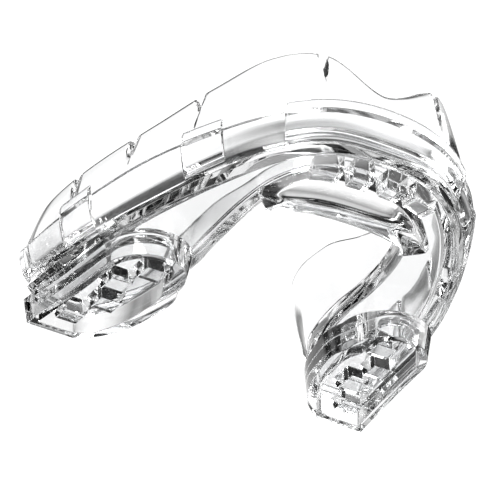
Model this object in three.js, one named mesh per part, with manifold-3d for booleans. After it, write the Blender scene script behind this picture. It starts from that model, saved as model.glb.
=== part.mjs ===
// Clear upper-jaw mouthguard. Millimetres, +Z up, the lips' side towards -Y.
// It stands on its two bite pads (z = 0), with the channel for the teeth open upwards.
import * as THREE from 'three';
import { mergeVertices } from 'three/addons/utils/BufferGeometryUtils.js';
import Module from 'manifold-3d';

const wasm = await Module();
wasm.setup();

// ---------------------------------------------------------------- driving dimensions
// The arch is described at stations 0 (midline, front) to 7 (rear end of a leg). Negative
// stations are the mirrored side. At each station a straight line runs from the outer plan
// curve (lips and cheeks) to the inner one (tongue); d is the distance along it.
const LAST = 7;
const OUTER_X = [0, 9, 16.5, 22, 25.9, 28.3, 29.4, 29.8];
const OUTER_Y = [-25.9, -24.8, -19.9, -12, -2.4, 8.1, 17.1, 25.6];
const INNER_X = [0, 6.5, 10, 11.2, 11.3, 11.2, 12.9, 18.2];
const INNER_Y = [-15.6, -14.8, -11.8, -6, 0.9, 8.6, 17.6, 25.6];
// Heights at the same stations.
const PLATE_Z = [9.1, 8.4, 6.3, 5.1, 4.6, 4.3, 4.3, 4.3];              // underside of the bite plate
const BAND_Z = [10.1, 9.9, 8.5, 6.9, 5.8, 5.6, 5.7, 5.8];              // lower edge of the band
const BAND_TOP_Z = [15.0, 14.3, 13.1, 12.3, 11.9, 11.4, 11.2, 10.9];   // upper edge of the band
const LABIAL_RIM_Z = [19.9, 24.2, 24.4, 21.5, 19.0, 18.2, 17.7, 16.8]; // rim on the lips' side
const LABIAL_LEAN = [0.6, 1.0, 1.9, 1.5, 1.0, 0.8, 0.6, 0.5];          // how far that rim leans in
const LINGUAL_RIM_Z = [14.9, 14.6, 13.8, 13.2, 14.6, 16.4, 15.2, 9.4]; // rim on the tongue's side
const LINGUAL_LEAN = [0, 0, 0, 0.2, 0.6, 1.8, 3.2, 1.8];               // how far that rim leans in

const BOX_CENTRE_Y = 0.45;     // the middle of the whole box, which the assembly moves to y = 0
const GAP = 0.3;               // between neighbouring pieces
const ARCH_STEPS = 56;         // sections along a piece that runs the whole arch
const BAND_THICKNESS = 1.7;
const BAND_LEAN = 1;           // the band's lower edge stands this far behind its upper one
const BAND_CHIN = 1.4;         // height of the rounded part under the band's face
const BAND_BULGE = 0.2;        // how far the face stands proud of the outer plan curve
const RIM_ROUND = 0.3;         // height of the rounded top of a wall
const LINGUAL_INSET = 0.2;     // the tongue wall's face outside the inner plan curve
const PLATE_RISE = 0.6;        // the bite plate's top above the band's lower edge
const FLOOR_THICKNESS = 1.6;
const FLANGE_THICKNESS = 1.4;
const FLANGE_SETBACK = 0.9;    // the flange's face behind the band's, above the band
const LINGUAL_THICKNESS = 1.6;
const REAR_ROUND = { from: 6.2, drop: 4.2 };   // the flange's rounded rear upper corner
const TAB_THICKNESS = 0.6;     // a tab lies in a pocket of the band, flush with its face
const TAB_RISE = 1.5;          // how far a tab stands above the band
const POCKET_WALL = 0.004;     // width of a pocket's end wall, in stations
const NOTCH = { width: 1.3, depth: 2.6 };
const NOTCH_STATIONS = [1.08, 3.23, 4.4, 5.65];
const TAB_STATIONS = { front: [-1.65, 1.65], mid: [2.72, 3.28], rear: [5.05, 5.7] };
const POCKET_MARGIN = 0.05;    // a pocket is this much longer than its tab, in stations

const PAD_TOP = 4;             // the pads stand from z = 0 to here
const PAD_REAR_Y = 27;
const PAD_NOSE = { x: 19.5, y: 7.8, halfWidth: 6.8, length: 7.4 };  // the rounded front end
const PAD_OUTER_SIDE = [[26.8, 14.5], [27.5, 21.5]];                // points behind the nose
const PAD_INNER_SIDE = [[12, 10.6], [12.6, 14.6], [13.9, 19.6], [16.5, 24.1]];
const PAD_REAR_X = { outer: 28, inner: 19.6 };
const PAD_DRAFT = 0.5;         // how much narrower a pad is at the bottom, each side
const PAD_WALL = 1.7;          // rim on the cheek's side, the nose and the rear
const PAD_BEVEL_WALL = 3.4;    // rim on the tongue's side, at the nose
const PAD_BEVEL_REAR = 1.9;    // the same rim at the rear
const PAD_FLOOR = 1.4;         // thickness of the plate inside the rim

const STEP_COUNT = 4;
const STEP_SIZE = { width: 4.2, length: 4.1, bottom: 0.4, draft: 0.5 };
const STEP_ROW = { x: 19.6, y: 6.4, dx: 0.75, pitch: 5.2, stagger: 1 };

const BLOCK_STATIONS = [[0.12, 0.5], [0.66, 1.2]];
const BLOCK_REACH = [2.4, 5.9];        // d at the front and back of a block
const BLOCK_BOTTOM_Z = 5.7;
const BLOCK_DRAFT = 0.45;
const LIP_FRONT = 6.2;                 // d at the front of the tongue lip
const LIP_HALF_SPAN = 2.3;             // stations each side of the midline
const LIP_BOTTOM_Z = 3.3;
const LIP_THINNEST = 0.6;              // its height at the two tips

// ---------------------------------------------------------------- the arch
function catmullRom(a, b, c, d, t) {
  const m0 = (c - a) / 2;
  const m1 = (d - b) / 2;
  return ((2 * b - 2 * c + m0 + m1) * t + (-3 * b + 3 * c - 2 * m0 - m1)) * t * t + m0 * t + b;
}

// A smooth curve through station values, mirrored at the midline. sign is 1 for a value that
// is the same on both sides and -1 for one that changes sign.
function along(values, station, sign = 1) {
  const s = Math.abs(station);
  const i = Math.min(Math.floor(s), LAST - 1);
  const before = i === 0 ? sign * values[1] : values[i - 1];
  const after = values[Math.min(i + 2, LAST)];
  const value = catmullRom(before, values[i], values[i + 1], after, s - i);
  return station < 0 ? sign * value : value;
}

function line(station) {
  const outer = new THREE.Vector2(along(OUTER_X, station, -1), along(OUTER_Y, station));
  const inner = new THREE.Vector2(along(INNER_X, station, -1), along(INNER_Y, station));
  return { outer, width: outer.distanceTo(inner), inward: inner.sub(outer).normalize() };
}

function place(station, d, z) {
  const { outer, inward } = line(station);
  return new THREE.Vector3(outer.x + inward.x * d, outer.y + inward.y * d, z);
}

// ---------------------------------------------------------------- solids from rings
// Triangles that fill a 2-D outline, turning the same way round as the outline does.
function fill(outline) {
  const faces = THREE.ShapeUtils.triangulateShape(outline, []);
  return THREE.ShapeUtils.isClockWise(outline) ? faces.map(([i, j, k]) => [k, j, i]) : faces;
}

// Joins equal rings of points into one closed solid. flat gives the 2-D outlines of the first
// and last rings, for the two end faces.
function loft(rings, flat) {
  const n = rings[0].length;
  const points = rings.flat();
  const triangles = [];
  for (let r = 0; r + 1 < rings.length; r++) {
    for (let i = 0; i < n; i++) {
      const a = r * n + i;
      const b = r * n + ((i + 1) % n);
      triangles.push(a, b, a + n, b, b + n, a + n);
    }
  }
  const last = (rings.length - 1) * n;
  for (const [i, j, k] of fill(flat[0])) triangles.push(k, j, i);
  for (const [i, j, k] of fill(flat[1])) triangles.push(last + i, last + j, last + k);
  return facingOut(points, triangles);
}

function signedVolume(points, triangles) {
  let sum = 0;
  for (let i = 0; i < triangles.length; i += 3) {
    const [a, b, c] = [0, 1, 2].map((k) => points[triangles[i + k]]);
    sum += a.dot(b.clone().cross(c));
  }
  return sum;
}

function facingOut(points, triangles) {
  const index = signedVolume(points, triangles) < 0 ? [...triangles].reverse() : triangles;
  const geometry = new THREE.BufferGeometry().setFromPoints(points);
  geometry.setIndex(index);
  return geometry;
}

// A solid whose section, given as [d, z] points for a station, runs along the arch.
function sweepThrough(stations, section) {
  const rings = stations.map((s) => section(s).map(([d, z]) => place(s, d, z)));
  const ends = [stations[0], stations.at(-1)];
  const flat = ends.map((s) => section(s).map(([d, z]) => new THREE.Vector2(d, z)));
  return loft(rings, flat);
}

const evenly = (from, to, steps) => (
  Array.from({ length: steps + 1 }, (_, i) => from + ((to - from) * i) / steps)
);
const sweep = (section, from, to, steps) => sweepThrough(evenly(from, to, steps), section);

// A solid between flat outlines at different heights.
function stack(levels) {
  const rings = levels.map(({ outline, z }) => outline.map((p) => new THREE.Vector3(p.x, p.y, z)));
  return loft(rings, [levels[0].outline, levels.at(-1).outline]);
}

function toSolid(geometry) {
  const bare = new THREE.BufferGeometry();
  bare.setAttribute('position', geometry.getAttribute('position'));
  bare.setIndex(geometry.getIndex());
  const merged = mergeVertices(bare, 1e-5);
  const vertProperties = new Float32Array(merged.getAttribute('position').array);
  const triVerts = new Uint32Array(merged.getIndex().array);
  return new wasm.Manifold(new wasm.Mesh({ numProp: 3, vertProperties, triVerts }));
}

function toGeometry(solid) {
  const mesh = solid.getMesh();
  const geometry = new THREE.BufferGeometry();
  geometry.setAttribute('position', new THREE.BufferAttribute(mesh.vertProperties, mesh.numProp));
  geometry.setIndex(new THREE.BufferAttribute(mesh.triVerts, 1));
  return geometry;
}

// ---------------------------------------------------------------- sections along the arch
function labialRim(s) {
  const past = Math.max(0, (Math.abs(s) - REAR_ROUND.from) / (LAST - REAR_ROUND.from));
  return along(LABIAL_RIM_Z, s) - REAR_ROUND.drop * past ** 3;
}

// How far the band's face has leaned in at height z.
function bandLean(s, z) {
  const low = along(BAND_Z, s);
  const high = along(BAND_TOP_Z, s);
  return (BAND_LEAN * Math.max(0, high - z)) / (high - low);
}

// Start and end stations of the pockets for the tabs, along the whole arch.
const POCKETS = Object.values(TAB_STATIONS).flatMap(([from, to]) => {
  const pocket = [from - POCKET_MARGIN, to + POCKET_MARGIN];
  return from < 0 ? [pocket] : [pocket, [-pocket[1], -pocket[0]]];
});

function bandSection(s) {
  const low = along(BAND_Z, s);
  const high = along(BAND_TOP_Z, s);
  const middle = (low + high) / 2;
  const pocket = POCKETS.some(([from, to]) => s > from && s < to) ? TAB_THICKNESS + GAP : 0;
  return [
    [0.9 + BAND_LEAN, low], [0.3 + BAND_LEAN, low + 0.4],
    [pocket + bandLean(s, low + BAND_CHIN), low + BAND_CHIN],
    [pocket - BAND_BULGE + bandLean(s, middle + 0.8), middle + 0.8], [0.1 + pocket, high - 0.4],
    [0.5 + pocket, high], [BAND_THICKNESS, high], [BAND_THICKNESS + BAND_LEAN, low],
  ];
}

// Even stations, with a close pair at each end of every pocket for its end walls.
function bandStations() {
  const walls = POCKETS.flat().flatMap((end) => [end - POCKET_WALL / 2, end + POCKET_WALL / 2]);
  const spacing = (2 * LAST) / ARCH_STEPS;
  const clear = evenly(-LAST, LAST, ARCH_STEPS).filter((s) => (
    walls.every((wall) => Math.abs(s - wall) > spacing / 4)
  ));
  return [...clear, ...walls].sort((a, b) => a - b);
}

function labialSection(s) {
  const root = along(BAND_Z, s) + PLATE_RISE + GAP;
  const shoulder = along(BAND_TOP_Z, s) + GAP;
  const rim = labialRim(s);
  const middle = (shoulder + rim) / 2;
  const lean = along(LABIAL_LEAN, s);
  const behindBand = BAND_THICKNESS + GAP;
  const rootBack = behindBand + bandLean(s, root);
  return [
    [rootBack, root], [behindBand, shoulder], [FLANGE_SETBACK, shoulder],
    [FLANGE_SETBACK + 0.1 + lean * 0.35, middle],
    [FLANGE_SETBACK + 0.4 + lean * 0.95, rim - RIM_ROUND],
    [FLANGE_SETBACK + 0.9 + lean, rim], [FLANGE_SETBACK + 1.4 + lean, rim - RIM_ROUND],
    [behindBand + FLANGE_THICKNESS - 0.4 + lean * 0.35, middle],
    [behindBand + FLANGE_THICKNESS, shoulder], [rootBack + FLANGE_THICKNESS, root],
  ];
}

function lingualSection(s) {
  const root = along(BAND_Z, s) + PLATE_RISE + GAP;
  const rim = along(LINGUAL_RIM_Z, s);
  const rise = rim - root;
  const face = line(s).width - LINGUAL_INSET;
  const lean = along(LINGUAL_LEAN, s);
  return [
    [face - LINGUAL_THICKNESS, root],
    [face - LINGUAL_THICKNESS + 0.2 + lean * 0.4, root + rise * 0.5],
    [face - 1.2 + lean, rim - rise * 0.1], [face - 0.8 + lean, rim],
    [face - 0.3 + lean, rim - rise * 0.1],
    [face + lean * 0.4, root + rise * 0.5], [face, root],
  ];
}

function floorSection(s) {
  const z = along(BAND_Z, s) + PLATE_RISE + GAP;
  const front = BAND_THICKNESS + GAP + bandLean(s, z) + FLANGE_THICKNESS + GAP;
  const back = line(s).width - LINGUAL_INSET - LINGUAL_THICKNESS - GAP;
  return [[front, z], [front, z + FLOOR_THICKNESS], [back, z + FLOOR_THICKNESS], [back, z]];
}

function plateSection(s) {
  const bottom = along(PLATE_Z, s);
  const bandBottom = along(BAND_Z, s) - GAP;
  const top = along(BAND_Z, s) + PLATE_RISE;
  const { width } = line(s);
  const behindBand = BAND_THICKNESS + GAP + BAND_LEAN;
  return [
    [2.4, bottom], [0.5 + BAND_LEAN, bandBottom - 0.2], [0.7 + BAND_LEAN, bandBottom],
    [behindBand, bandBottom], [behindBand, top], [width - 0.3, top], [width - 0.3, bottom + 0.6],
    [width - 1.1, bottom],
  ];
}

// A tab lies on its pocket's floor, GAP off it, and hooks over the band's top edge.
function tabSection(s) {
  const low = along(BAND_Z, s) + BAND_CHIN + GAP;
  const high = along(BAND_TOP_Z, s);
  const middle = (low + high) / 2;
  const top = high + TAB_RISE;
  const back = TAB_THICKNESS - BAND_BULGE;
  return [
    [TAB_THICKNESS + bandLean(s, low), low], [back + bandLean(s, middle), middle],
    [back, high], [back, top - 0.2], [0.2, top], [-BAND_BULGE, high + 0.2],
    [-BAND_BULGE + bandLean(s, middle), middle], [bandLean(s, low), low],
  ];
}

function blockSection(s) {
  const top = along(PLATE_Z, s) - GAP;
  const [front, back] = BLOCK_REACH;
  return [
    [front, top], [front + BLOCK_DRAFT, BLOCK_BOTTOM_Z], [back - BLOCK_DRAFT, BLOCK_BOTTOM_Z],
    [back, top],
  ];
}

function lipSection(s) {
  const top = along(PLATE_Z, s) - GAP;
  const fullness = Math.sqrt(Math.max(0, 1 - (s / LIP_HALF_SPAN) ** 4));
  const drop = LIP_THINNEST + (top - LIP_BOTTOM_Z - LIP_THINNEST) * fullness;
  const back = line(s).width - 0.3;
  return [
    [LIP_FRONT, top], [LIP_FRONT + 0.3, top - drop * 0.7], [LIP_FRONT + 1, top - drop],
    [back - 0.3, top - drop], [back, top - drop + 0.3], [back, top],
  ];
}

// ---------------------------------------------------------------- flange with its notches
// A wedge that crosses the flange, widest above the rim and sharp at the bottom.
function notchCutter(station) {
  const rim = labialRim(station);
  const above = 2;
  const flare = (NOTCH.depth + above) / NOTCH.depth;
  const { inward } = line(station);
  const across = new THREE.Vector3(-inward.y, inward.x, 0).multiplyScalar(NOTCH.width / 2);
  const outline = [
    [-1, rim + above, flare], [-1, rim - NOTCH.depth, 0.05], [5, rim - NOTCH.depth, 0.05],
    [5, rim + above, flare],
  ];
  const ring = (side) => outline.map(([d, z, wide]) => (
    place(station, d, z).addScaledVector(across, side * wide)
  ));
  const flat = outline.map(([d, z]) => new THREE.Vector2(d, z));
  return loft([ring(-1), ring(1)], [flat, flat]);
}

function labialFlange() {
  let solid = toSolid(sweep(labialSection, -LAST, LAST, ARCH_STEPS));
  for (const station of NOTCH_STATIONS) {
    for (const side of [-1, 1]) solid = solid.subtract(toSolid(notchCutter(side * station)));
  }
  return toGeometry(solid);
}

// ---------------------------------------------------------------- bite pads
// The outline of a pad on the right-hand side, pulled in by wall all round and by bevel on the
// tongue's side, which narrows to bevelRear. Its points run from the rear outer corner round
// the nose to the rear inner corner.
function padOutline(wall, bevel, bevelRear) {
  const rear = PAD_REAR_Y - wall;
  const points = [new THREE.Vector2(PAD_REAR_X.outer - wall, rear)];
  for (const [x, y] of [...PAD_OUTER_SIDE].reverse()) points.push(new THREE.Vector2(x - wall, y));
  const noseSteps = 14;
  for (let i = 0; i <= noseSteps; i++) {
    const angle = (Math.PI * i) / noseSteps;
    const pull = wall + (bevel - wall) * Math.max(0, -Math.cos(angle));
    points.push(new THREE.Vector2(
      PAD_NOSE.x + Math.cos(angle) * (PAD_NOSE.halfWidth - pull),
      PAD_NOSE.y - Math.sin(angle) * (PAD_NOSE.length - wall),
    ));
  }
  const inner = [...PAD_INNER_SIDE, [PAD_REAR_X.inner, rear]];
  inner.forEach(([x, y], i) => {
    const pull = bevel + ((bevelRear - bevel) * (i + 1)) / inner.length;
    points.push(new THREE.Vector2(x + pull, y));
  });
  return points;
}

const recess = (gap) => padOutline(PAD_WALL + gap, PAD_BEVEL_WALL + gap, PAD_BEVEL_REAR + gap);

function padRim() {
  const block = toSolid(stack([
    { outline: padOutline(PAD_DRAFT, PAD_DRAFT * 2, PAD_DRAFT), z: 0 },
    { outline: padOutline(0, 0, 0), z: PAD_TOP },
  ]));
  const hollow = toSolid(stack([
    { outline: recess(0), z: -1 },
    { outline: recess(0), z: PAD_TOP + 1 },
  ]));
  return toGeometry(block.subtract(hollow));
}

function padFloor() {
  const outline = recess(GAP);
  return stack([{ outline, z: PAD_TOP - PAD_FLOOR }, { outline, z: PAD_TOP }]);
}

function rectangle(x, y, width, length) {
  const [w, l] = [width / 2, length / 2];
  return [[-w, -l], [w, -l], [w, l], [-w, l]].map(([dx, dy]) => new THREE.Vector2(x + dx, y + dy));
}

// Steps stand in a row down the pad, every other one set towards the cheek.
function padStep(i) {
  const { width, length, bottom, draft } = STEP_SIZE;
  const x = STEP_ROW.x + STEP_ROW.dx * i + (i % 2 ? 1 : -1) * STEP_ROW.stagger;
  const y = STEP_ROW.y + STEP_ROW.pitch * i;
  return stack([
    { outline: rectangle(x, y, width - 2 * draft, length - 2 * draft), z: bottom },
    { outline: rectangle(x, y, width, length), z: PAD_TOP - PAD_FLOOR - GAP },
  ]);
}

function mirrored(geometry) {
  const position = geometry.getAttribute('position');
  const points = Array.from({ length: position.count }, (_, i) => (
    new THREE.Vector3(-position.getX(i), position.getY(i), position.getZ(i))
  ));
  return facingOut(points, Array.from(geometry.getIndex().array));
}

// ---------------------------------------------------------------- materials and assembly
const clear = (color, roughness) => new THREE.MeshStandardMaterial({
  color, roughness, metalness: 0, transparent: true, opacity: 0.35,
});
const materials = {
  liner: clear(0xf4f7f8, 0.08),
  frame: clear(0xeaf0f3, 0.04),
  pad: clear(0xe4ebee, 0.04),
  insert: clear(0xf0f4f6, 0.05),
};

const guard = new THREE.Group();

function add(name, geometry, material) {
  const mesh = new THREE.Mesh(geometry, material);
  mesh.name = name;
  mesh.position.y = -BOX_CENTRE_Y;
  guard.add(mesh);
}

function addPair(name, geometry, material) {
  add(`${name}_right`, geometry, material);
  add(`${name}_left`, mirrored(geometry), material);
}

add('labial_flange', labialFlange(), materials.liner);
add('lingual_flange', sweep(lingualSection, -LAST, LAST, ARCH_STEPS), materials.liner);
add('bite_floor', sweep(floorSection, -LAST, LAST, ARCH_STEPS), materials.liner);
add('frame_band', sweepThrough(bandStations(), bandSection), materials.frame);
add('bite_plate', sweep(plateSection, -LAST, LAST, ARCH_STEPS), materials.frame);
add('front_tab', sweep(tabSection, ...TAB_STATIONS.front, 16), materials.insert);
addPair('mid_tab', sweep(tabSection, ...TAB_STATIONS.mid, 3), materials.insert);
addPair('rear_tab', sweep(tabSection, ...TAB_STATIONS.rear, 3), materials.insert);
addPair('inner_front_block', sweep(blockSection, ...BLOCK_STATIONS[0], 2), materials.pad);
addPair('outer_front_block', sweep(blockSection, ...BLOCK_STATIONS[1], 3), materials.pad);
add('tongue_lip', sweep(lipSection, -LIP_HALF_SPAN, LIP_HALF_SPAN, 24), materials.pad);
addPair('pad_rim', padRim(), materials.pad);
addPair('pad_floor', padFloor(), materials.pad);
for (let i = 0; i < STEP_COUNT; i++) addPair(`pad_step_${i + 1}`, padStep(i), materials.pad);

export default guard;
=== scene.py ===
import math

import bmesh
import bpy
from mathutils import Matrix, Vector


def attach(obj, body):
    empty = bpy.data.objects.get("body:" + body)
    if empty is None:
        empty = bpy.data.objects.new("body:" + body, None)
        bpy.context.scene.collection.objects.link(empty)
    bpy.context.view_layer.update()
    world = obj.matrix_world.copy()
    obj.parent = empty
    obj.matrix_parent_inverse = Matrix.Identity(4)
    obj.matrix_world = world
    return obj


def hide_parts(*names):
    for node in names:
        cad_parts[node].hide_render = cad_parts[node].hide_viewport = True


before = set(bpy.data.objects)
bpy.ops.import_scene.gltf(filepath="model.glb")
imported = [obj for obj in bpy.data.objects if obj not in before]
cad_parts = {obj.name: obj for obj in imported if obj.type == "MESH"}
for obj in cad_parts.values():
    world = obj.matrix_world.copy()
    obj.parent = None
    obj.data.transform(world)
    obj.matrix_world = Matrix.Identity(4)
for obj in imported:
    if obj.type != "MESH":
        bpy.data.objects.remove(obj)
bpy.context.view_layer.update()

# A clear upper-jaw mouthguard. Lengths here are millimetres; to_mesh() turns them into metres.
MM = 0.001

# ---------------------------------------------------------------- the arch
# Stations run from 0 (midline, front) to 7 (rear end of a leg); negative ones are mirrored.
LAST = 7
OUTER_X = [0, 9, 16.5, 22, 25.9, 28.3, 29.4, 29.8]
OUTER_Y = [-25.9, -24.8, -19.9, -12, -2.4, 8.1, 17.1, 25.6]
INNER_X = [0, 6.5, 10, 11.2, 11.3, 11.2, 12.9, 18.2]
INNER_Y = [-15.6, -14.8, -11.8, -6, 0.9, 8.6, 17.6, 25.6]
PLATE_Z = [9.1, 8.4, 6.3, 5.1, 4.6, 4.3, 4.3, 4.3]
BAND_Z = [10.1, 9.9, 8.5, 6.9, 5.8, 5.6, 5.7, 5.8]
BAND_TOP_Z = [15.0, 14.3, 13.1, 12.3, 11.9, 11.4, 11.2, 10.9]
LABIAL_RIM_Z = [19.9, 24.2, 24.4, 21.5, 19.0, 18.2, 17.7, 16.8]
LABIAL_LEAN = [0.6, 1.0, 1.9, 1.5, 1.0, 0.8, 0.6, 0.5]
LINGUAL_RIM_Z = [14.9, 14.6, 13.8, 13.2, 14.6, 16.4, 15.2, 9.4]
LINGUAL_LEAN = [0, 0, 0, 0.2, 0.6, 1.8, 3.2, 1.8]

BOX_CENTRE_Y = 0.45            # the tables above are this far behind the frame's own origin
GAP = 0.3
BAND_THICKNESS = 1.7
BAND_LEAN = 1
BAND_CHIN = 1.4                # height of the rounded part under the band's face
BAND_BULGE = 0.2               # how far the face stands proud of the outer plan curve
PLATE_RISE = 0.6
FLOOR_THICKNESS = 1.6
FLANGE_THICKNESS = 1.4
FLANGE_SETBACK = 0.9
RIM_ROUND = 0.3                # height of the rounded top of the outer wall
LINGUAL_THICKNESS = 1.6
LINGUAL_INSET = 0.2            # the tongue wall's face outside the inner plan curve
REAR_ROUND_FROM, REAR_ROUND_DROP = 6.2, 4.2
TAB_THICKNESS = 0.6
TAB_RISE = 1.5
TAB_STATIONS = [(-1.65, 1.65), (2.72, 3.28), (5.05, 5.7)]
POCKET_MARGIN = 0.05
TAB_SEAM = 0.08                # the finished tabs fill their pockets this closely
TAB_SEAM_STATION = 0.014
POCKET_WALL = 0.004
NOTCH_HALF_STATION = 0.085     # half a notch's width at the rim, in stations
NOTCH_DEPTH = 2.6
NOTCH_STATIONS = [1.08, 3.23, 4.4, 5.65]
STATION_STEP = 0.05

PAD_TOP = 4
PAD_REAR_Y = 27
PAD_NOSE_X, PAD_NOSE_Y, PAD_NOSE_HALF_WIDTH, PAD_NOSE_LENGTH = 19.5, 7.8, 6.8, 7.4
PAD_OUTER_SIDE = [(26.8, 14.5), (27.5, 21.5)]
PAD_INNER_SIDE = [(12, 10.6), (12.6, 14.6), (13.9, 19.6), (16.5, 24.1)]
PAD_REAR_OUTER_X, PAD_REAR_INNER_X = 28, 19.6
PAD_DRAFT = 0.5
PAD_WALL = 1.7
PAD_BEVEL_WALL, PAD_BEVEL_REAR = 3.4, 1.9
PAD_FLOOR = 1.4
STEP_COUNT = 4
STEP_WIDTH, STEP_LENGTH, STEP_BOTTOM, STEP_DRAFT = 4.2, 4.1, 0.4, 0.5
STEP_X, STEP_Y, STEP_DX, STEP_PITCH, STEP_STAGGER = 19.6, 6.4, 0.75, 5.2, 1

BLOCK_FRONT, BLOCK_BACK = 2.4, 5.9
BLOCK_BOTTOM_Z = 5.7
BLOCK_DRAFT = 0.45
LIP_FRONT = 6.2
LIP_HALF_SPAN = 2.3
LIP_BOTTOM_Z = 3.3
LIP_THINNEST = 0.6


def catmull_rom(a, b, c, d, t):
    m0 = (c - a) / 2
    m1 = (d - b) / 2
    return ((2 * b - 2 * c + m0 + m1) * t + (-3 * b + 3 * c - 2 * m0 - m1)) * t * t + m0 * t + b


def along(values, station, sign=1):
    """A smooth curve through station values, mirrored at the midline; sign -1 flips it there."""
    s = abs(station)
    i = min(math.floor(s), LAST - 1)
    before = sign * values[1] if i == 0 else values[i - 1]
    after = values[min(i + 2, LAST)]
    value = catmull_rom(before, values[i], values[i + 1], after, s - i)
    return sign * value if station < 0 else value


def line(station):
    outer = Vector((along(OUTER_X, station, -1), along(OUTER_Y, station)))
    inner = Vector((along(INNER_X, station, -1), along(INNER_Y, station)))
    across = inner - outer
    return outer, across.normalized(), across.length


def place(station, d, z):
    outer, inward, _ = line(station)
    flat = outer + inward * d
    return Vector((flat.x, flat.y, z))


def stations(start, end, step=STATION_STEP):
    count = max(2, round((end - start) / step))
    return [start + (end - start) * i / count for i in range(count + 1)]


# ---------------------------------------------------------------- meshes from rings
def curved(points, corners, steps=4):
    """A closed outline through the points, smooth everywhere but at the corners."""
    n = len(points)
    outline = []
    for start, end in zip(corners, corners[1:] + [corners[0] + n]):
        run = [points[i % n] for i in range(start, end + 1)]
        count = steps if len(run) > 2 else 1
        for k in range(len(run) - 1):
            a, b, c, d = run[max(k - 1, 0)], run[k], run[k + 1], run[min(k + 2, len(run) - 1)]
            for j in range(count):
                outline.append([catmull_rom(a[m], b[m], c[m], d[m], j / count) for m in (0, 1)])
    return outline


def loft(rings, around=False):
    """Joins equal rings of points; around closes the last ring to the first instead of capping."""
    bm = bmesh.new()
    rows = [[bm.verts.new(p) for p in ring] for ring in rings]
    n = len(rows[0])
    pairs = list(zip(rows, rows[1:])) + ([(rows[-1], rows[0])] if around else [])
    for low, high in pairs:
        for i in range(n):
            j = (i + 1) % n
            bm.faces.new((low[i], low[j], high[j], high[i]))
    if not around:
        bm.faces.new(list(reversed(rows[0])))
        bm.faces.new(rows[-1])
    bmesh.ops.recalc_face_normals(bm, faces=bm.faces)
    return bm


def sweep(section, where):
    return loft([[place(s, d, z) for d, z in section(s)] for s in where])


def stack(levels):
    return loft([[Vector((x, y, z)) for x, y in outline] for outline, z in levels])


def mirrored(bm):
    twin = bm.copy()
    bmesh.ops.scale(twin, vec=(-1, 1, 1), verts=twin.verts)
    bmesh.ops.reverse_faces(twin, faces=twin.faces)
    return twin


def to_mesh(name, bm):
    bmesh.ops.translate(bm, vec=(0, -BOX_CENTRE_Y, 0), verts=bm.verts)
    bmesh.ops.scale(bm, vec=(MM, MM, MM), verts=bm.verts)
    for face in bm.faces:
        face.smooth = True
    mesh = bpy.data.meshes.new(name)
    bm.to_mesh(mesh)
    bm.free()
    return mesh


EDGE_ANGLE = math.radians(28)


def add(node, bm, slot, edge):
    """A finished moulding that stands for a node; edge is the radius of its rounded edges."""
    name = f"{node}_moulding"
    piece = bpy.data.objects.new(name, to_mesh(name, bm))
    bpy.context.scene.collection.objects.link(piece)
    bevel = piece.modifiers.new("rounded_edges", "BEVEL")
    bevel.width = edge * MM
    bevel.segments = 3
    bevel.limit_method = "ANGLE"
    bevel.angle_limit = EDGE_ANGLE
    bevel.use_clamp_overlap = False
    normals = piece.modifiers.new("even_normals", "WEIGHTED_NORMAL")
    normals.keep_sharp = True
    piece.data.materials.append(MATERIALS[slot])
    piece.visible_shadow = slot == "clear_pad"
    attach(piece, "root")
    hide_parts(node)
    return piece


def add_pair(node, bm, slot, edge):
    left = mirrored(bm)
    add(f"{node}_right", bm, slot, edge)
    add(f"{node}_left", left, slot, edge)


# ---------------------------------------------------------------- sections along the arch
def labial_rim(s):
    past = max(0, (abs(s) - REAR_ROUND_FROM) / (LAST - REAR_ROUND_FROM))
    return along(LABIAL_RIM_Z, s) - REAR_ROUND_DROP * past ** 3


def band_lean(s, z):
    low, high = along(BAND_Z, s), along(BAND_TOP_Z, s)
    return BAND_LEAN * max(0, high - z) / (high - low)


POCKETS = [(sign * (near - POCKET_MARGIN), sign * (far + POCKET_MARGIN))
           for near, far in TAB_STATIONS[1:] for sign in (-1, 1)]
POCKETS = [tuple(sorted(ends)) for ends in POCKETS]
POCKETS.append((TAB_STATIONS[0][0] - POCKET_MARGIN, TAB_STATIONS[0][1] + POCKET_MARGIN))


def band_section(s):
    low, high = along(BAND_Z, s), along(BAND_TOP_Z, s)
    middle = (low + high) / 2
    inside = any(start < s < end for start, end in POCKETS)
    pocket = TAB_THICKNESS + GAP if inside else 0
    return curved([
        (0.9 + BAND_LEAN, low), (0.3 + BAND_LEAN, low + 0.4),
        (pocket + band_lean(s, low + BAND_CHIN), low + BAND_CHIN),
        (pocket - BAND_BULGE + band_lean(s, middle + 0.8), middle + 0.8),
        (0.1 + pocket, high - 0.4),
        (0.5 + pocket, high), (BAND_THICKNESS, high), (BAND_THICKNESS + BAND_LEAN, low),
    ], [0, 2, 5, 6, 7])


def band_stations():
    """Even stations, with a close pair at each end of every pocket for its end walls."""
    walls = [end + side * POCKET_WALL / 2 for ends in POCKETS for end in ends for side in (-1, 1)]
    clear = [s for s in stations(-LAST, LAST) if all(abs(s - w) > STATION_STEP / 4 for w in walls)]
    return sorted(clear + walls)


def notch_cut(s):
    """How deep the notches reach below the rim at a station."""
    depths = [1 - abs(abs(s) - at) / NOTCH_HALF_STATION for at in NOTCH_STATIONS]
    return NOTCH_DEPTH * max(0, *depths)


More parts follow.
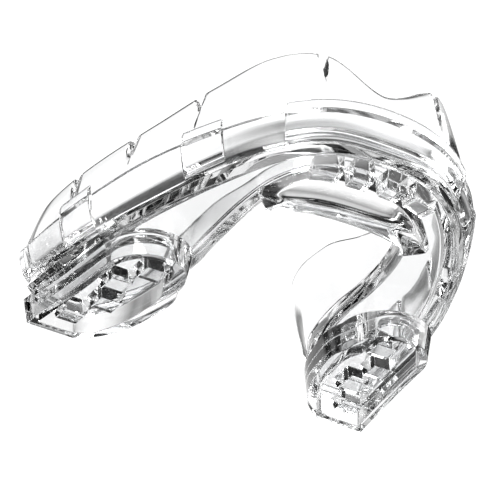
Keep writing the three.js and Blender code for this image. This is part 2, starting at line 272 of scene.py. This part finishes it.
def labial_section(s):
    root = along(BAND_Z, s) + PLATE_RISE + GAP
    shoulder = along(BAND_TOP_Z, s) + GAP
    rim = labial_rim(s)
    middle = (shoulder + rim) / 2
    lean = along(LABIAL_LEAN, s)
    behind_band = BAND_THICKNESS + GAP
    root_back = behind_band + band_lean(s, root)
    outline = curved([
        (root_back, root), (behind_band, shoulder), (FLANGE_SETBACK, shoulder),
        (FLANGE_SETBACK + 0.1 + lean * 0.35, middle),
        (FLANGE_SETBACK + 0.4 + lean * 0.95, rim - RIM_ROUND),
        (FLANGE_SETBACK + 0.9 + lean, rim), (FLANGE_SETBACK + 1.4 + lean, rim - RIM_ROUND),
        (behind_band + FLANGE_THICKNESS - 0.4 + lean * 0.35, middle),
        (behind_band + FLANGE_THICKNESS, shoulder), (root_back + FLANGE_THICKNESS, root),
    ], [0, 1, 2, 9], 5)
    squeeze = 1 - notch_cut(s) / (rim - shoulder)
    return [(d, z if z <= shoulder else shoulder + (z - shoulder) * squeeze) for d, z in outline]


def lingual_section(s):
    root = along(BAND_Z, s) + PLATE_RISE + GAP
    rim = along(LINGUAL_RIM_Z, s)
    rise = rim - root
    face = line(s)[2] - LINGUAL_INSET
    lean = along(LINGUAL_LEAN, s)
    return curved([
        (face - LINGUAL_THICKNESS, root),
        (face - LINGUAL_THICKNESS + 0.2 + lean * 0.4, root + rise * 0.5),
        (face - 1.2 + lean, rim - rise * 0.1), (face - 0.8 + lean, rim),
        (face - 0.3 + lean, rim - rise * 0.1), (face + lean * 0.4, root + rise * 0.5), (face, root),
    ], [0, 6], 5)


def floor_section(s):
    z = along(BAND_Z, s) + PLATE_RISE + GAP
    front = BAND_THICKNESS + GAP + band_lean(s, z) + FLANGE_THICKNESS + GAP
    back = line(s)[2] - LINGUAL_INSET - LINGUAL_THICKNESS - GAP
    return [(front, z), (front, z + FLOOR_THICKNESS), (back, z + FLOOR_THICKNESS), (back, z)]


def plate_section(s):
    bottom = along(PLATE_Z, s)
    band_bottom = along(BAND_Z, s) - GAP
    top = along(BAND_Z, s) + PLATE_RISE
    width = line(s)[2]
    behind_band = BAND_THICKNESS + GAP + BAND_LEAN
    return [
        (2.4, bottom), (0.5 + BAND_LEAN, band_bottom - 0.2), (0.7 + BAND_LEAN, band_bottom),
        (behind_band, band_bottom), (behind_band, top), (width - 0.3, top),
        (width - 0.3, bottom + 0.6), (width - 1.1, bottom),
    ]


def tab_section(s):
    low = along(BAND_Z, s) + BAND_CHIN + TAB_SEAM
    high = along(BAND_TOP_Z, s)
    middle = (low + high) / 2
    top = high + TAB_RISE
    back = TAB_THICKNESS + GAP - TAB_SEAM
    return curved([
        (back + band_lean(s, low), low), (back - BAND_BULGE + band_lean(s, middle), middle),
        (back - BAND_BULGE, high), (TAB_THICKNESS - BAND_BULGE, high + 0.4),
        (TAB_THICKNESS - BAND_BULGE, top - 0.2),
        (0.2, top), (-BAND_BULGE, high + 0.2), (-BAND_BULGE + band_lean(s, middle), middle),
        (band_lean(s, low), low),
    ], [0, 2, 3, 4, 5, 8])


def tab_stations(start, end):
    slack = POCKET_MARGIN - TAB_SEAM_STATION
    return stations(start - slack, end + slack)


def block_section(s):
    top = along(PLATE_Z, s) - GAP
    return [
        (BLOCK_FRONT, top), (BLOCK_FRONT + BLOCK_DRAFT, BLOCK_BOTTOM_Z),
        (BLOCK_BACK - BLOCK_DRAFT, BLOCK_BOTTOM_Z), (BLOCK_BACK, top),
    ]


def lip_section(s):
    top = along(PLATE_Z, s) - GAP
    fullness = math.sqrt(max(0, 1 - (s / LIP_HALF_SPAN) ** 4))
    drop = LIP_THINNEST + (top - LIP_BOTTOM_Z - LIP_THINNEST) * fullness
    back = line(s)[2] - 0.3
    return curved([
        (LIP_FRONT, top), (LIP_FRONT + 0.3, top - drop * 0.7), (LIP_FRONT + 1, top - drop),
        (back - 0.3, top - drop), (back, top - drop + 0.3), (back, top),
    ], [0, 5])


def flange_stations():
    """Even stations, with the edges and the bottom of every notch exactly on one."""
    even = stations(-LAST, LAST)
    marks = [sign * (at + k * NOTCH_HALF_STATION / 2)
             for at in NOTCH_STATIONS for k in range(-2, 3) for sign in (-1, 1)]
    apart = [s for s in even if all(abs(s - m) > STATION_STEP / 2 for m in marks)]
    return sorted(apart + marks)


# ---------------------------------------------------------------- bite pads
def pad_outline(wall, bevel, bevel_rear):
    """A pad's outline on the right, pulled in by wall, and by bevel on the tongue's side."""
    rear = PAD_REAR_Y - wall
    points = [(PAD_REAR_OUTER_X - wall, rear)]
    points += [(x - wall, y) for x, y in reversed(PAD_OUTER_SIDE)]
    nose_steps = 14
    for i in range(nose_steps + 1):
        angle = math.pi * i / nose_steps
        pull = wall + (bevel - wall) * max(0, -math.cos(angle))
        points.append((PAD_NOSE_X + math.cos(angle) * (PAD_NOSE_HALF_WIDTH - pull),
                       PAD_NOSE_Y - math.sin(angle) * (PAD_NOSE_LENGTH - wall)))
    inner = PAD_INNER_SIDE + [(PAD_REAR_INNER_X, rear)]
    for i, (x, y) in enumerate(inner):
        points.append((x + bevel + (bevel_rear - bevel) * (i + 1) / len(inner), y))
    return curved(points, [0, len(points) - 1], 3)


def recess(gap):
    return pad_outline(PAD_WALL + gap, PAD_BEVEL_WALL + gap, PAD_BEVEL_REAR + gap)


def pad_rim():
    levels = [
        (pad_outline(PAD_DRAFT, PAD_DRAFT * 2, PAD_DRAFT), 0), (pad_outline(0, 0, 0), PAD_TOP),
        (recess(0), PAD_TOP), (recess(0), 0),
    ]
    return loft([[Vector((x, y, z)) for x, y in outline] for outline, z in levels], around=True)


def pad_floor():
    outline = recess(GAP)
    return stack([(outline, PAD_TOP - PAD_FLOOR), (outline, PAD_TOP)])


def rectangle(x, y, width, length):
    w, h = width / 2, length / 2
    return [(x - w, y - h), (x + w, y - h), (x + w, y + h), (x - w, y + h)]


def pad_step(i):
    x = STEP_X + STEP_DX * i + (STEP_STAGGER if i % 2 else -STEP_STAGGER)
    y = STEP_Y + STEP_PITCH * i
    foot = rectangle(x, y, STEP_WIDTH - 2 * STEP_DRAFT, STEP_LENGTH - 2 * STEP_DRAFT)
    head = rectangle(x, y, STEP_WIDTH, STEP_LENGTH)
    return stack([(foot, STEP_BOTTOM), (head, PAD_TOP - PAD_FLOOR - GAP)])


# ---------------------------------------------------------------- materials
def clear_plastic(name, tint, shade, roughness, flow, grain):
    """Clear moulded plastic: faint tint variation, polish that varies, and a slight flow ripple."""
    material = bpy.data.materials.new(name)
    material.use_nodes = True
    nodes, links = material.node_tree.nodes, material.node_tree.links
    shader = nodes["Principled BSDF"]
    shader.inputs["Transmission Weight"].default_value = 1
    shader.inputs["IOR"].default_value = 1.5
    where = nodes.new("ShaderNodeTexCoord")

    def noise(scale, detail):
        node = nodes.new("ShaderNodeTexNoise")
        node.inputs["Scale"].default_value = scale
        node.inputs["Detail"].default_value = detail
        links.new(where.outputs["Object"], node.inputs["Vector"])
        return node.outputs["Fac"]

    ripple, polish = noise(flow, 2), noise(grain, 5)
    colour = nodes.new("ShaderNodeMix")
    colour.data_type = "RGBA"
    colour.inputs["A"].default_value = (*shade, 1)
    colour.inputs["B"].default_value = (*tint, 1)
    links.new(ripple, colour.inputs["Factor"])
    links.new(colour.outputs["Result"], shader.inputs["Base Color"])
    spread = nodes.new("ShaderNodeMapRange")
    spread.inputs["To Min"].default_value = roughness[0]
    spread.inputs["To Max"].default_value = roughness[1]
    links.new(polish, spread.inputs["Value"])
    links.new(spread.outputs["Result"], shader.inputs["Roughness"])
    wave = nodes.new("ShaderNodeBump")
    wave.inputs["Strength"].default_value = 0.12
    wave.inputs["Distance"].default_value = 0.00008
    links.new(ripple, wave.inputs["Height"])
    fine = nodes.new("ShaderNodeBump")
    fine.inputs["Strength"].default_value = 0.05
    fine.inputs["Distance"].default_value = 0.00001
    links.new(polish, fine.inputs["Height"])
    links.new(wave.outputs["Normal"], fine.inputs["Normal"])
    links.new(fine.outputs["Normal"], shader.inputs["Normal"])
    return material


MATERIALS = {
    "clear_liner": clear_plastic("soft_clear_liner", (1, 1, 1), (0.985, 0.99, 0.995),
                                 (0.02, 0.06), 160, 2600),
    "clear_frame": clear_plastic("hard_clear_frame", (1, 1, 1), (0.98, 0.985, 0.99),
                                 (0.0, 0.03), 120, 3000),
    "clear_insert": clear_plastic("clear_insert", (1, 1, 1), (0.98, 0.985, 0.99),
                                  (0.0, 0.03), 200, 3000),
    "clear_pad": clear_plastic("hard_clear_pad", (1, 1, 1), (0.98, 0.985, 0.99),
                               (0.0, 0.03), 180, 3000),
}

# ---------------------------------------------------------------- the object
WHOLE_ARCH = stations(-LAST, LAST)
add("labial_flange", sweep(labial_section, flange_stations()), "clear_liner", 0.12)
add("lingual_flange", sweep(lingual_section, WHOLE_ARCH), "clear_liner", 0.12)
add("bite_floor", sweep(floor_section, WHOLE_ARCH), "clear_liner", 0.2)
add("frame_band", sweep(band_section, band_stations()), "clear_frame", 0.05)
add("bite_plate", sweep(plate_section, WHOLE_ARCH), "clear_frame", 0.12)
front, mid, rear = TAB_STATIONS
add("front_tab", sweep(tab_section, tab_stations(*front)), "clear_insert", 0.05)
add_pair("mid_tab", sweep(tab_section, tab_stations(*mid)), "clear_insert", 0.05)
add_pair("rear_tab", sweep(tab_section, tab_stations(*rear)), "clear_insert", 0.05)
add_pair("inner_front_block", sweep(block_section, stations(0.12, 0.5)), "clear_pad", 0.15)
add_pair("outer_front_block", sweep(block_section, stations(0.66, 1.2)), "clear_pad", 0.15)
add("tongue_lip", sweep(lip_section, stations(-LIP_HALF_SPAN, LIP_HALF_SPAN)), "clear_pad", 0.15)
add_pair("pad_rim", pad_rim(), "clear_pad", 0.1)
add_pair("pad_floor", pad_floor(), "clear_pad", 0.12)
for i in range(STEP_COUNT):
    add_pair(f"pad_step_{i + 1}", pad_step(i), "clear_pad", 0.08)

# ---------------------------------------------------------------- studio
scene = bpy.context.scene


FLOOR_HALF_WIDTH = 4             # metres, as is the clearance under the pads
FLOOR_CLEARANCE = 0.0001


def studio_floor():
    """Pale, and seen only from above, so it doesn't hide what stands on it from below."""
    mesh = bpy.data.meshes.new("studio_floor")
    half = FLOOR_HALF_WIDTH
    mesh.from_pydata([(-half, -half, 0), (half, -half, 0), (half, half, 0), (-half, half, 0)],
                     [], [(0, 1, 2, 3)])
    floor = bpy.data.objects.new("studio_floor", mesh)
    floor.location.z = -FLOOR_CLEARANCE
    scene.collection.objects.link(floor)
    material = bpy.data.materials.new("pale_floor")
    material.use_nodes = True
    nodes, links = material.node_tree.nodes, material.node_tree.links
    nodes["Principled BSDF"].inputs["Base Color"].default_value = (0.78, 0.78, 0.78, 1)
    nodes["Principled BSDF"].inputs["Roughness"].default_value = 0.7
    side = nodes.new("ShaderNodeNewGeometry")
    open_side = nodes.new("ShaderNodeBsdfTransparent")
    mix = nodes.new("ShaderNodeMixShader")
    links.new(side.outputs["Backfacing"], mix.inputs["Fac"])
    links.new(nodes["Principled BSDF"].outputs["BSDF"], mix.inputs[1])
    links.new(open_side.outputs["BSDF"], mix.inputs[2])
    links.new(mix.outputs["Shader"], nodes["Material Output"].inputs["Surface"])
    mesh.materials.append(material)
    floor.visible_shadow = False
    floor.visible_glossy = False
    floor.visible_transmission = False


# Light panels round the object: azimuth of the middle and half width, lowest and highest
# elevation, brightness. Azimuth 0 is behind the arch, as seen from the lips, and 90 is +X.
PANELS = [
    (8, 35, 3, 39.5, 1.0),      # back panel, which shows through the clear walls
    (34, 12, 41, 56, 0.6),       # a dimmer one above it
    (-90, 42, 0, 31, 1.2),       # left panel
    (165, 60, 4, 30, 1.3),       # front panel
    (73, 24, 1, 20, 0.4),        # right panel
    (-145, 34, 36, 62, 0.8),     # raised front panels
    (150, 28, 36, 58, 0.4),
    (150, 85, -46, -7, 0.7),     # pale table, away from the back
    (-110, 50, -40, -7, 0.65),
    (-30, 34, -27, -5, 0.6),
    (30, 32, -27, -8, 0.32),
    (0, 180, 74, 90, 0.35),      # overhead panel
]
PANEL_EDGE = 4.5                 # half the width of a panel's soft edge, in degrees
DARK = 0.008                     # the unlit studio between the panels


def studio_world():
    """Light panels with dark gaps between them, which give clear parts their black lines."""
    world = bpy.data.worlds.new("studio")
    world.use_nodes = True
    scene.world = world
    nodes, links = world.node_tree.nodes, world.node_tree.links
    where = nodes.new("ShaderNodeTexCoord").outputs["Generated"]
    split = nodes.new("ShaderNodeSeparateXYZ")
    links.new(where, split.inputs["Vector"])
    flat = nodes.new("ShaderNodeVectorMath")
    flat.operation = "MULTIPLY"
    flat.inputs[1].default_value = (1, 1, 0)
    links.new(where, flat.inputs[0])
    heading = nodes.new("ShaderNodeVectorMath")
    heading.operation = "NORMALIZE"
    links.new(flat.outputs["Vector"], heading.inputs[0])

    def calculate(operation, *values):
        node = nodes.new("ShaderNodeMath")
        node.operation = operation
        for socket, value in zip(node.inputs, values):
            if isinstance(value, bpy.types.NodeSocket):
                links.new(value, socket)
            else:
                socket.default_value = value
        return node.outputs["Value"]

    def edge(value, dark_side, light_side):
        node = nodes.new("ShaderNodeMapRange")
        node.interpolation_type = "SMOOTHSTEP"
        node.inputs["From Min"].default_value = dark_side
        node.inputs["From Max"].default_value = light_side
        links.new(value, node.inputs["Value"])
        return node.outputs["Result"]

    light = DARK
    for azimuth, half_width, lowest, highest, brightness in PANELS:
        toward = nodes.new("ShaderNodeVectorMath")
        toward.operation = "DOT_PRODUCT"
        angle = math.radians(azimuth)
        toward.inputs[1].default_value = (math.sin(angle), math.cos(angle), 0)
        links.new(heading.outputs["Vector"], toward.inputs[0])
        outside, inside = (math.cos(math.radians(min(half_width + k * PANEL_EDGE, 180)))
                           for k in (1, -1))
        sideways = edge(toward.outputs["Value"], outside, inside)
        if half_width == 180:
            sideways = 1.0
        above = edge(split.outputs["Z"], *(math.sin(math.radians(lowest + k * PANEL_EDGE))
                                           for k in (-1, 1)))
        below = edge(split.outputs["Z"], *(math.sin(math.radians(min(highest + k * PANEL_EDGE, 90)))
                                           for k in (1, -1)))
        if highest == 90:
            below = 1.0
        upright = calculate("MULTIPLY", above, below)
        panel = calculate("MULTIPLY", calculate("MULTIPLY", sideways, upright), brightness)
        light = calculate("MAXIMUM", panel, light)
    seen = calculate("MAXIMUM", light, nodes.new("ShaderNodeLightPath").outputs["Is Camera Ray"])
    links.new(seen, nodes["Background"].inputs["Color"])


def softbox(name, azimuth, elevation, distance, size, power):
    """A square light that faces the object. Azimuth 0 is in front of the lips."""
    a, e = math.radians(azimuth), math.radians(elevation)
    back = Vector((math.sin(a) * math.cos(e), -math.cos(a) * math.cos(e), math.sin(e)))
    data = bpy.data.lights.new(name, "AREA")
    data.shape = "RECTANGLE"
    data.size = size
    data.size_y = size
    data.energy = power
    lamp = bpy.data.objects.new(name, data)
    lamp.location = back * distance
    lamp.rotation_mode = "QUATERNION"
    lamp.rotation_quaternion = back.to_track_quat("Z", "Y")
    lamp.visible_camera = False
    scene.collection.objects.link(lamp)


CAMERA_AZIMUTH, CAMERA_ELEVATION, CAMERA_ROLL = -29.5, -32.3, 2.0
CAMERA_DISTANCE = 700
CAMERA_LENS, CAMERA_SENSOR = 362.88, 36
AIM_Y, AIM_RIGHT, AIM_UP = 2.6, -4.5, 7.6   # AIM_Y is in the tables' frame


def photo_camera():
    """Looks up at the guard from below and beside the lips."""
    angles = (CAMERA_AZIMUTH, CAMERA_ELEVATION, CAMERA_ROLL)
    azimuth, elevation, roll = (math.radians(x) for x in angles)
    distance = CAMERA_DISTANCE * MM
    back = Vector((math.sin(azimuth) * math.cos(elevation),
                   -math.cos(azimuth) * math.cos(elevation), math.sin(elevation)))
    across = Vector((math.cos(azimuth), math.sin(azimuth), 0))
    upward = back.cross(across)
    right = across * math.cos(roll) + upward * math.sin(roll)
    up = upward * math.cos(roll) - across * math.sin(roll)
    aim = Vector((0, AIM_Y - BOX_CENTRE_Y, 0)) + right * AIM_RIGHT + up * AIM_UP
    data = bpy.data.cameras.new("photo_camera")
    data.sensor_width = CAMERA_SENSOR
    data.lens = CAMERA_LENS
    data.clip_start, data.clip_end = 0.01, 20
    camera = bpy.data.objects.new("photo_camera", data)
    camera.matrix_world = Matrix.Translation(aim * MM + back * distance) @ Matrix(
        (right, up, back)).transposed().to_4x4()
    scene.collection.objects.link(camera)
    scene.camera = camera


studio_floor()
studio_world()
softbox("key_panel", -50, 50, 1.2, 0.6, 12)
softbox("fill_panel", 80, 35, 1.4, 0.8, 8)
photo_camera()
scene.view_settings.view_transform = "Standard"
scene.view_settings.look = "Medium High Contrast"
scene.cycles.max_bounces = 32
scene.cycles.transmission_bounces = 32
scene.cycles.glossy_bounces = 16
scene.cycles.transparent_max_bounces = 32
scene.cycles.blur_glossy = 0.3
